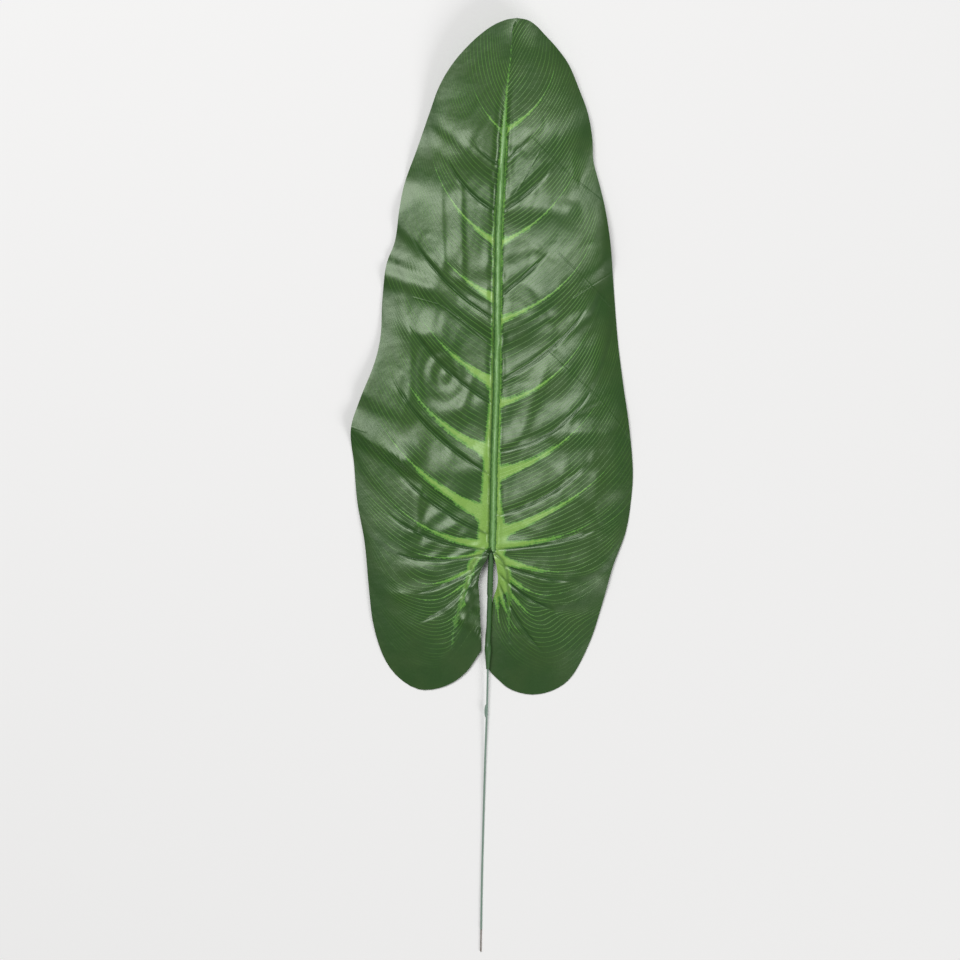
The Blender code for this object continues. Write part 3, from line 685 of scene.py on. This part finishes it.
def newMaterial(name, roughness, metallic=0.0, specular=0.5, coat=0.0, coatRoughness=0.3):
    material = bpy.data.materials.new(name)
    material.use_nodes = True
    shader = material.node_tree.nodes["Principled BSDF"]
    values = {
        "Roughness": roughness, "Metallic": metallic, "Specular IOR Level": specular, "Coat Weight": coat,
        "Coat Roughness": coatRoughness,
    }
    for socket, value in values.items():
        shader.inputs[socket].default_value = value
    return material, material.node_tree, shader


cloth = {
    "roughness": 0.41,
    "specular": 0.95,
    "coat": 0.25,
    "coatRoughness": 0.24,
    "sheenTint": (0.83, 1, 0.73),
    "fineWander": 0.16,  # how far a fine vein strays, as a share of their spacing
    "fineEdge": (0.05, 0.42),
    "fineStrength": (0.15, 0.58),
    "threadsPerVein": 4.0,
    "threadStrength": 0.08,
    # size, detail and depth of the torn edges
    "teeth": {"small": (1.6, 3, 4.0), "large": (7, 2, 3.0), "ridge": (3, 3, 2.4)},
    # how strongly the painted shade darkens the grooves and the foot of the midrib's ridge
    "paintedShadeStrength": 0.6,
    "speckle": (0.84, 1.14),
    "creaseHeight": 0.22,
    "grainHeight": 0.02,
}
printAndPaintedLightColours = {
    "dark": (0.012, 0.060, 0.004),
    "deep": (0.022, 0.068, 0.008),
    "fine": (0.140, 0.380, 0.045),
    "mid": (0.105, 0.320, 0.040),
    "light": (0.245, 0.455, 0.080),
    "ridge": (0.125, 0.300, 0.075),
    # painted shade for the ridge's feet and a painted highlight for its top
    "paintedRidgeShade": (0.022, 0.110, 0.014),
    "paintedRidgeHighlight": (0.250, 0.470, 0.180),
    # painted shade colour for the grooves and the foot of the midrib's ridge
    "paintedShade": (0.012, 0.06, 0.010),
}

# Lines along the ridge of the midrib, a painted shade line at each foot and a painted highlight along its
# top: place across it, half-width and colour
ridgeLines = ((-2.6, 1.0, "paintedRidgeShade"), (2.9, 0.8, "paintedRidgeShade"), (0.4, 1.0, "paintedRidgeHighlight"))

# Thin creases from packing: both ends and half-width
packingCreases = [
    ((34.5, 314.5), (70.5, 278.5), 1.3), ((70.5, 278.5), (98, 256), 1.3), ((57, 211), (111, 157), 1.4),
    ((70.5, 166), (109, 191), 1.2), ((51, 121), (98, 76), 1.4), ((98, 76), (126, 40), 1.4),
    ((-71, 168.5), (-46, 161.5), 1.2), ((-46, 161.5), (-28, 148), 1.2), ((-28, 148), (-2, 126), 1.2),
    ((-127, 52), (-112, 47), 1.3), ((20, 258), (44, 300), 1.3),
]


def lineMark(tree, start, end, halfWidth):
    # 1 on the line and 0 beside it and past its ends
    length = math.dist(start, end)
    turn = math.atan2(end[1] - start[1], end[0] - start[0])
    local = addNode(tree, "Mapping", {"vector_type": "TEXTURE"}, {
        "Vector": place(tree), "Location": (start[0] * mm, start[1] * mm, 0), "Rotation": (0, 0, turn),
        "Scale": (length * mm, halfWidth * mm, 1),
    }).outputs[0]
    parts = addNode(tree, "SeparateXYZ", None, {0: local})
    across = ramp(tree, calculate(tree, "ABSOLUTE", parts.outputs[1]), 0, 1, 1, 0)
    along = calculate(tree, "ABSOLUTE", calculate(tree, "SUBTRACT", parts.outputs[0], 0.5))
    return calculate(tree, "MULTIPLY", across, ramp(tree, along, 0.4, 0.55, 1, 0))


def tornEdge(tree, value, kind):
    size, detail, depth = cloth["teeth"][kind]
    teeth = calculate(tree, "MULTIPLY_ADD", noise(tree, size, detail), depth, -depth / 2)
    return calculate(tree, "ADD", value, teeth)


def fineVeins(tree):
    # the thin printed lines between the veins, and how far the threads between them show
    fineWidth = field(tree, "fineWidth")
    wander = calculate(tree, "MULTIPLY_ADD", noise(tree, 9), cloth["fineWander"], field(tree, "fineCount"))
    offset = calculate(tree, "MULTIPLY", calculate(tree, "PINGPONG", wander, 0.5), fineWidth)
    room = calculate(tree, "MULTIPLY", ramp(tree, fineWidth, 1.0, 2.6), field(tree, "fineFade"))
    fineLine = calculate(tree, "MULTIPLY", ramp(tree, offset, *cloth["fineEdge"], 1, 0), room)
    threads = calculate(tree, "MULTIPLY", wander, cloth["threadsPerVein"])
    threads = ramp(tree, calculate(tree, "PINGPONG", threads, 0.5), 0.1, 0.4, 1, 0)
    return fineLine, calculate(tree, "MULTIPLY", threads, room)


def ridgePrintAndPaintedLight(tree, base):
    # the midrib's ridge, with a painted highlight line along its top and a painted shade line at each foot
    fromMidrib = tornEdge(tree, field(tree, "fromMidrib"), "ridge")
    onRidge = ramp(tree, field(tree, "lightPrint"), 0.5, 2.0)
    near = ramp(tree, calculate(tree, "ABSOLUTE", fromMidrib), 2.4, 3.6, 0.9, 0)
    base = blendColours(tree, calculate(tree, "MULTIPLY", near, onRidge), base, printAndPaintedLightColours["ridge"])
    for middle, halfWidth, colour in ridgeLines:
        offset = calculate(tree, "ABSOLUTE", calculate(tree, "SUBTRACT", fromMidrib, middle))
        line = calculate(tree, "MULTIPLY", ramp(tree, offset, 0.4 * halfWidth, halfWidth, 0.8, 0), onRidge)
        base = blendColours(tree, line, base, printAndPaintedLightColours[colour])
    return base


def printedCloth():
    material, tree, shader = newMaterial(
        "printedCloth", cloth["roughness"], specular=cloth["specular"], coat=cloth["coat"],
        coatRoughness=cloth["coatRoughness"],
    )
    shader.inputs["Specular Tint"].default_value = (*cloth["sheenTint"], 1)
    fineLine, threads = fineVeins(tree)
    patchy = ramp(tree, noise(tree, 22, 3), 0.3, 0.7, *cloth["fineStrength"])
    inside = tornEdge(tree, tornEdge(tree, field(tree, "lightPrint"), "small"), "large")
    inside = calculate(tree, "MULTIPLY_ADD", fineLine, 1.3, inside)
    blotches = ramp(tree, noise(tree, 30, 4), 0.35, 0.65)
    base = blendColours(tree, blotches, printAndPaintedLightColours["dark"], printAndPaintedLightColours["deep"])
    for strength, colour in (
        (calculate(tree, "MULTIPLY", threads, cloth["threadStrength"]), "fine"),
        (calculate(tree, "MULTIPLY", fineLine, patchy), "fine"),
        (ramp(tree, inside, -0.4, 0.6), "mid"),
        (ramp(tree, inside, 0.5, 2.4), "light"),
    ):
        base = blendColours(tree, strength, base, printAndPaintedLightColours[colour])
    base = ridgePrintAndPaintedLight(tree, base)
    # painted shade: a darker colour in the rib grooves and at the foot of the midrib's ridge
    paintedShade = calculate(tree, "MULTIPLY", field(tree, "paintedShade"), cloth["paintedShadeStrength"])
    base = blendColours(tree, paintedShade, base, printAndPaintedLightColours["paintedShade"])
    speckle = ramp(tree, noise(tree, 0.7, 2), 0.2, 0.8, *cloth["speckle"])
    grain = addNode(tree, "CombineColor", None, {0: speckle, 1: speckle, 2: speckle}).outputs[0]
    base = blendColours(tree, 1.0, base, grain, "MULTIPLY")
    tree.links.new(base, shader.inputs["Base Color"])
    creases = None
    for start, end, halfWidth in packingCreases:
        mark = lineMark(tree, start, end, halfWidth)
        creases = mark if creases is None else calculate(tree, "MAXIMUM", creases, mark)
    normal = bump(tree, noise(tree, 7, 2), 0.3)
    normal = bump(tree, creases, cloth["creaseHeight"], normal)
    normal = bump(tree, fineLine, 0.06, normal)
    normal = bump(tree, noise(tree, 0.5, 1), cloth["grainHeight"], normal)
    tree.links.new(normal, shader.inputs["Normal"])
    return material


backColours = {
    "dark": (0.085, 0.17, 0.075),
    "light": (0.11, 0.20, 0.095),
    "fine": (0.17, 0.29, 0.13),
    "veins": (0.22, 0.34, 0.15),
    "edgeDark": (0.02, 0.07, 0.015),
    "edgeLight": (0.05, 0.11, 0.04),
}


def clothBack():
    material, tree, shader = newMaterial("clothBack", 0.62, specular=0.3)
    fineOffset = calculate(tree, "PINGPONG", field(tree, "fineCount"), 0.5)
    fineOffset = calculate(tree, "MULTIPLY", fineOffset, field(tree, "fineWidth"))
    fineLine = ramp(tree, fineOffset, 0.2, 1.0, 1, 0)
    blotches = ramp(tree, noise(tree, 25, 3), 0.3, 0.7)
    base = blendColours(tree, blotches, backColours["dark"], backColours["light"])
    base = blendColours(tree, calculate(tree, "MULTIPLY", fineLine, 0.35), base, backColours["fine"])
    shinesThrough = ramp(tree, field(tree, "lightPrint"), -0.5, 2.0, 0, 0.45)
    base = blendColours(tree, shinesThrough, base, backColours["veins"])
    tree.links.new(base, shader.inputs["Base Color"])
    normal = bump(tree, noise(tree, 0.6, 2), 0.06)
    tree.links.new(normal, shader.inputs["Normal"])
    return material


def clothEdge():
    material, tree, shader = newMaterial("clothEdge", 0.6, specular=0.3)
    base = blendColours(tree, noise(tree, 1.2, 2), backColours["edgeDark"], backColours["edgeLight"])
    tree.links.new(base, shader.inputs["Base Color"])
    return material


def makeBlade(sheet):
    for material in (printedCloth(), clothBack(), clothEdge()):
        sheet.data.materials.append(material)
    solidify = sheet.modifiers.new("thickness", "SOLIDIFY")
    solidify.thickness = blade["thickness"] * mm
    solidify.offset = -1
    solidify.material_offset = 1
    solidify.material_offset_rim = 2
    applyModifiers(sheet)
    sheet.data.shade_smooth()
    sheet.data.set_sharp_from_angle(angle=math.radians(blade["sharpAngle"]))
    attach(sheet, "root")
    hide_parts("leaf_blade")
    print("blade:", sum(len(face.vertices) - 2 for face in sheet.data.polygons), "triangles")


# Rib frame and stem
stem = {
    "line": [
        (0.4, -40, 4.2), (-0.3, -64, 4.7), (-1.1, -84, 5.2), (-1.6, -100, 5.6), (-2.3, -122, 5.6),
        (-3.2, -146, 5.4), (-3.3, -160, 5.1), (-3.6, -180, 4.4), (-4.2, -205, 3.6), (-5.5, -240, 2.2),
        (-6.8, -285, 1.2), (-7.6, -315, 0.85), (-8.8, -365, 0.85), (-9.6, -421, 0.85),
    ],
    "step": 3.0,
    "sides": 28,
    "coatingRadius": 0.85,
    "coatingBore": 0.55,
    "coatingSpan": (-80.0, -401.0),
    "coreRadius": 0.3,
    "coreSpan": (-79.6, -401.3),
    "coreSides": 20,
    "bareEndRadius": 0.65,
    "bareEnd": -421.0,
    "beadCentre": (-4.8, -204.0),
    "beadHalfSize": (1.6, 6.0, 1.5),
    "coatColours": ((0.17, 0.26, 0.20), (0.23, 0.33, 0.27)),
    "steelColours": ((0.30, 0.265, 0.235), (0.46, 0.42, 0.38)),
    "stainColour": (0.20, 0.14, 0.10),
}
sleeve = {
    "profile": [
        (-42, 1.6), (-50, 2.2), (-62, 2.6), (-82, 2.6), (-98, 2.6), (-101, 2.0), (-104, 2.2), (-125, 2.1),
        (-141, 2.1), (-146, 3.0), (-149, 3.0), (-154, 2.5), (-161, 1.9), (-166, 1.5),
    ],
    "boreRadius": 1.1,
    "boreStart": -79.0,
    "boreRings": 30,
    "rings": 80,
    "sides": 32,
    "colours": ((0.040, 0.112, 0.030), (0.066, 0.155, 0.050)),
}
ribs = {
    "gap": 0.5,
    "rootRadius": 1.3,
    "endRadius": 0.6,
    "start": 0.03,
    "sides": 12,
    "span": (350.0, -58.0),
    "flat": (225.0, -40.0),
    "footHalfWidth": 2.2,
    "shoulder": 1.5,
    "endDepth": 2.0,
    "stations": 140,
    "corner": 0.35,
    "points": 30,
    "lobePoints": 44,
    "sharpAngle": 50,  # degrees, for the frame and the wire
}


def stemLine(ys):
    fine = steadyCurve(stem["line"], np.linspace(0, len(stem["line"]) - 1, 600))
    x = np.interp(-ys, -fine[:, 1], fine[:, 0])
    z = np.interp(-ys, -fine[:, 1], fine[:, 2])
    return np.column_stack([x, ys, z])


def ringedBar(name, sections):
    # a closed bar through its sections, which all have the same number of points
    body = bmesh.new()
    rings = [[body.verts.new(Vector(point) * mm) for point in section] for section in sections]
    for ring, after in zip(rings[:-1], rings[1:]):
        for corner in range(len(ring)):
            following = (corner + 1) % len(ring)
            body.faces.new((ring[corner], ring[following], after[following], after[corner]))
    body.faces.new(list(reversed(rings[0])))
    body.faces.new(rings[-1])
    bmesh.ops.recalc_face_normals(body, faces=body.faces)
    mesh = bpy.data.meshes.new(name)
    body.to_mesh(mesh)
    body.free()
    bar = bpy.data.objects.new(name, mesh)
    bpy.context.scene.collection.objects.link(bar)
    return bar


def sweptBar(name, path, radii, sides):
    # a round bar, with a ring for each point of its path
    path = np.asarray(path, float)
    heading = np.gradient(path[:, :2], axis=0)
    heading /= np.linalg.norm(heading, axis=1)[:, None]
    turns = 2 * np.pi * (np.arange(sides) + 0.5) / sides
    sections = []
    for (x, y, z), (hx, hy), radius in zip(path, heading, radii):
        sections.append([
            (x - hy * radius * math.cos(turn), y + hx * radius * math.cos(turn), z + radius * math.sin(turn))
            for turn in turns
        ])
    return ringedBar(name, sections)


def unite(thing, others, operation="UNION"):
    group = bpy.data.collections.new("others")
    bpy.context.scene.collection.children.link(group)
    for other in others:
        group.objects.link(other)
    union = thing.modifiers.new("join", "BOOLEAN")
    union.operation = operation
    union.operand_type = "COLLECTION"
    union.collection = group
    union.solver = "EXACT"
    applyModifiers(thing)
    for other in others:
        bpy.data.objects.remove(other)
    bpy.data.collections.remove(group)


def undersideFinder(sheet):
    corners = [vertex.co / mm for vertex in sheet.data.vertices]
    tree = BVHTree.FromPolygons(corners, [face.vertices for face in sheet.data.polygons])

    def underside(x, y):
        hit = tree.ray_cast(Vector((x, y, 100)), Vector((0, 0, -1)))[0]
        if hit is None:
            hit = tree.find_nearest(Vector((x, y, midribHeight[-1])))[0]
        return hit.z - 1.1 * blade["thickness"]

    return underside


def midribBar(underside):
    line = np.array(midrib)
    flatStart, flatEnd = ribs["flat"]
    corner = ribs["corner"]
    sections = []
    for y in np.linspace(*ribs["span"], ribs["stations"]):
        x = np.interp(-y, -line[:, 1], line[:, 0])
        share = np.clip((y - flatStart) / (ribs["span"][0] - flatStart), 0, 1)
        share = max(share, np.clip((flatEnd - y) / 30, 0, 0.6))
        top = underside(x, y) - ribs["gap"]
        bottom = share * max(top - ribs["endDepth"], 0)
        foot = ribs["footHalfWidth"] * (1 - 0.55 * np.clip((y - flatStart) / 130, 0, 1))
        edge = ribs["shoulder"] * foot / ribs["footHalfWidth"]
        shoulders = [underside(x + side * edge, y) - ribs["gap"] for side in (1, -1)]
        section = [
            (x - foot + corner, bottom), (x + foot - corner, bottom), (x + foot, bottom + corner),
            (x + edge + 0.2, shoulders[0] - corner), (x + edge - 0.3, shoulders[0]), (x, top),
            (x - edge + 0.3, shoulders[1]), (x - edge - 0.2, shoulders[1] - corner),
            (x - foot, bottom + corner),
        ]
        sections.append([(px, y, pz) for px, pz in section])
    return ringedBar("ribFrame", sections)


def ribBar(name, line, underside):
    radii = np.linspace(ribs["rootRadius"], ribs["endRadius"], len(line))
    radii[-2:] *= (0.85, 0.5)
    sink = 2 * ribs["gap"] * np.exp(-np.arange(len(line)) / 4)
    path = []
    for (x, y), radius, deeper in zip(line, radii, sink):
        around = ((0, 0), (radius, 0), (-radius, 0), (0, radius), (0, -radius))
        lowest = min(underside(x + dx, y + dy) for dx, dy in around)
        path.append((x, y, max(lowest - ribs["gap"] - radius - deeper, radius + 0.05)))
    return sweptBar(name, path, radii, ribs["sides"])


def finishBar(bar, material, node):
    bar.data.materials.clear()
    bar.data.materials.append(material)
    bar.data.shade_smooth()
    bar.data.set_sharp_from_angle(angle=math.radians(ribs["sharpAngle"]))
    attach(bar, "root")
    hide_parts(node)
    print(bar.name + ":", sum(len(face.vertices) - 2 for face in bar.data.polygons), "triangles")


def mouldedPlastic():
    material, tree, shader = newMaterial("mouldedPlastic", 0.42, specular=0.5)
    base = blendColours(tree, noise(tree, 6, 3), *sleeve["colours"])
    tree.links.new(base, shader.inputs["Base Color"])
    normal = bump(tree, noise(tree, 1.5, 3), 0.06)
    tree.links.new(normal, shader.inputs["Normal"])
    return material


def makeRibFrame(underside):
    bar = midribBar(underside)
    parts = []
    for side, half in (("right", rightHalf), ("left", leftHalf)):
        for guide, extent in half["ribs"].items():
            row = np.array([float(guide)])
            shares = np.linspace(ribs["start"], extent, ribs["points"])
            line = guidePoints(half, row, shares[None])[0]
            if guide < len(midrib):
                line = np.vstack([guidePoints(half, row, np.zeros((1, 1)))[0], line])
            parts.append(ribBar(f"{side}Rib{guide}", line, underside))
        line = roundCurve(half["lobeRib"], np.linspace(0, len(half["lobeRib"]) - 1, ribs["lobePoints"]))
        parts.append(ribBar(f"{side}LobeRib", line, underside))
    profile = np.array(sleeve["profile"], float)
    places = np.linspace(0, len(profile) - 1, sleeve["rings"])
    profile = steadyCurve(profile, places)
    parts.append(sweptBar("sleeve", stemLine(profile[:, 0]), profile[:, 1], sleeve["sides"]))
    unite(bar, parts)
    boreYs = np.linspace(sleeve["boreStart"], sleeve["profile"][-1][0] - 3, sleeve["boreRings"])
    bore = sweptBar("bore", stemLine(boreYs), np.full(len(boreYs), sleeve["boreRadius"]), sleeve["sides"])
    unite(bar, [bore], "DIFFERENCE")
    finishBar(bar, mouldedPlastic(), "rib_frame")


def wirePlastic():
    material, tree, shader = newMaterial("wirePlastic", 0.4, specular=0.5)
    base = blendColours(tree, noise(tree, 5, 3), *stem["coatColours"])
    tree.links.new(base, shader.inputs["Base Color"])
    normal = bump(tree, noise(tree, 0.8, 3), 0.03)
    tree.links.new(normal, shader.inputs["Normal"])
    return material


def drawnSteel():
    material, tree, shader = newMaterial("drawnSteel", 0.42, metallic=1.0)
    stretch = addNode(tree, "Mapping", None, {"Vector": place(tree), "Scale": (1, 0.04, 1)}).outputs[0]
    lines = noise(tree, 0.12, 2, stretch)
    base = blendColours(tree, lines, *stem["steelColours"])
    base = blendColours(tree, ramp(tree, noise(tree, 3, 3), 0.5, 0.75, 0, 0.6), base, stem["stainColour"])
    tree.links.new(base, shader.inputs["Base Color"])
    tree.links.new(bump(tree, lines, 0.01), shader.inputs["Normal"])
    return material


def spread(span):
    return np.linspace(*span, int(abs(span[0] - span[1]) / stem["step"]) + 1)


def makeWire():
    ys = spread(stem["coatingSpan"])
    coating = sweptBar("wireCoating", stemLine(ys), np.full(len(ys), stem["coatingRadius"]), stem["sides"])
    x, y = stem["beadCentre"]
    z = stemLine(np.array([y]))[0, 2]
    deselectAll()
    bpy.ops.mesh.primitive_uv_sphere_add(segments=32, ring_count=20, radius=1)
    bead = bpy.context.object
    bead.scale = [size * mm for size in stem["beadHalfSize"]]
    bead.location = (x * mm, y * mm, z * mm)
    bpy.ops.object.transform_apply(location=True, rotation=True, scale=True)
    unite(coating, [bead])
    ys = spread((stem["coatingSpan"][0] + 2, stem["coatingSpan"][1] - 2))
    bore = sweptBar("coatingBore", stemLine(ys), np.full(len(ys), stem["coatingBore"]), stem["sides"])
    unite(coating, [bore], "DIFFERENCE")
    finishBar(coating, wirePlastic(), "wire_coating")
    hidden = spread(stem["coreSpan"])
    bare = spread((stem["coreSpan"][1], stem["bareEnd"]))
    radii = [stem["coreRadius"]] * len(hidden) + [stem["bareEndRadius"]] * len(bare)
    core = sweptBar("wireCore", stemLine(np.concatenate([hidden, bare])), radii, stem["coreSides"])
    finishBar(core, drawnSteel(), "wire_core")


def addLight(name, where, size, power):
    data = bpy.data.lights.new(name, "AREA")
    data.shape = "RECTANGLE"
    data.size, data.size_y = size
    data.energy = power
    light = bpy.data.objects.new(name, data)
    bpy.context.scene.collection.objects.link(light)
    light.location = where
    light.rotation_mode = "QUATERNION"
    light.rotation_quaternion = (-Vector(where)).to_track_quat("-Z", "Y")


def makeStudio():
    deselectAll()
    bpy.ops.mesh.primitive_plane_add(size=studio["floorSize"], location=(0, 0, 0))
    floor = bpy.context.object
    floor.name = "floor"
    material, _, shader = newMaterial("floorPaper", 0.95, specular=0.0)
    shader.inputs["Base Color"].default_value = (*studio["floorColour"], 1)
    floor.data.materials.append(material)
    world = bpy.data.worlds.new("studio")
    world.use_nodes = True
    world.node_tree.nodes["Background"].inputs["Color"].default_value = (*studio["worldColour"], 1)
    bpy.context.scene.world = world
    addLight("keyLight", studio["keyPlace"], studio["keySize"], studio["keyPower"])
    addLight("fillLight", studio["fillPlace"], studio["fillSize"], studio["fillPower"])
    bpy.context.scene.view_settings.view_transform = "Standard"
    print("studio made")


sheet = makeSheet()
underside = undersideFinder(sheet)
makeRibFrame(underside)
makeBlade(sheet)
makeWire()
makeStudio()
